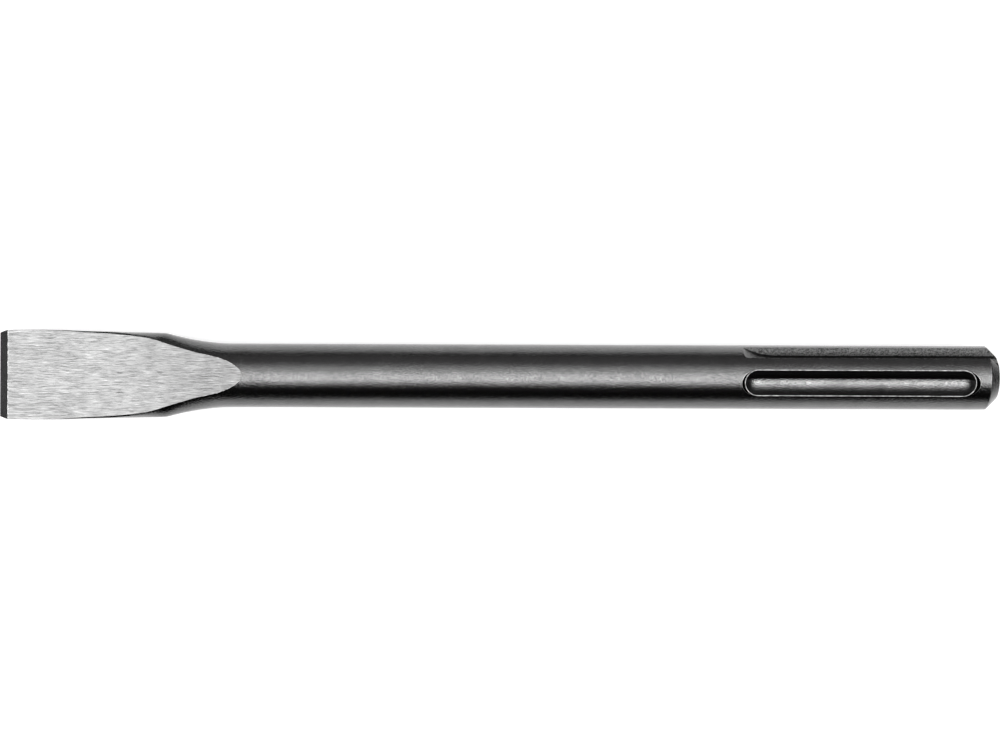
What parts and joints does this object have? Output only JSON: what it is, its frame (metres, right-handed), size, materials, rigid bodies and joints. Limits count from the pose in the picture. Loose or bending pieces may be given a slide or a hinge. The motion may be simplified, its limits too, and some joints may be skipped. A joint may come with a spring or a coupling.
{
  "type": "flat chisel",
  "caption": "One-piece steel flat chisel for a large rotary or demolition hammer: ground flat blade, round shaft and 18 mm slotted-drive shank.",
  "frame": {"origin": "centre of the striking face, on the tool's axis", "axes": "+X along the tool from the striking face to the cutting edge, Y across the blade's width, +Z square to the blade's flat and up as it lies"},
  "size_m": [0.28, 0.0252, 0.018],
  "materials": {
    "blackened_steel": "blasted and blackened tool steel, with the two blade faces ground bright"
  },
  "bodies": {
    "root": {"flat_chisel": "blackened_steel"}
  },
  "joints": []
}
